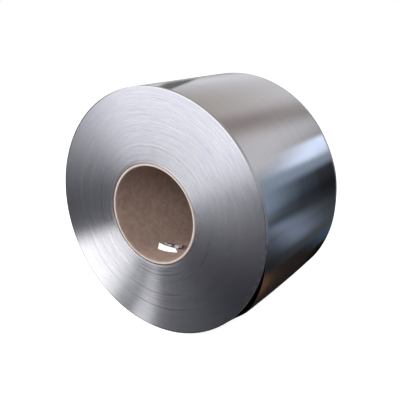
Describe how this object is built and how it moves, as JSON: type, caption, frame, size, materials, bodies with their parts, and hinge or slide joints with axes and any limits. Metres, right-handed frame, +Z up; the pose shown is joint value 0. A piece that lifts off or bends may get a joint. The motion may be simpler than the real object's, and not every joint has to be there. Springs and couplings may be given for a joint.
{
  "type": "aluminium jacketing coil",
  "caption": "Aluminium strip wound into a coil on a plain paper core, lying on its side, with a slack outer turn and a blank label in the bore.",
  "frame": {"origin": "on the floor, under the middle of the coil as it lies on its side", "axes": "+Z up; the coil's axis is horizontal along Y, and the end that shows the label in the bore faces -Y; +X is the side where the outer turn hangs slack"},
  "size_m": [1.0448, 0.66, 1.0399],
  "materials": {
    "aluminium": "mill finish, bright; the ends show the edges of the turns",
    "core_paper": "matte brown kraft paper",
    "label": "smooth white paper with a silver back"
  },
  "bodies": {
    "root": {"coil": "aluminium", "core_tube": "core_paper", "core_tag": "label"}
  },
  "joints": []
}
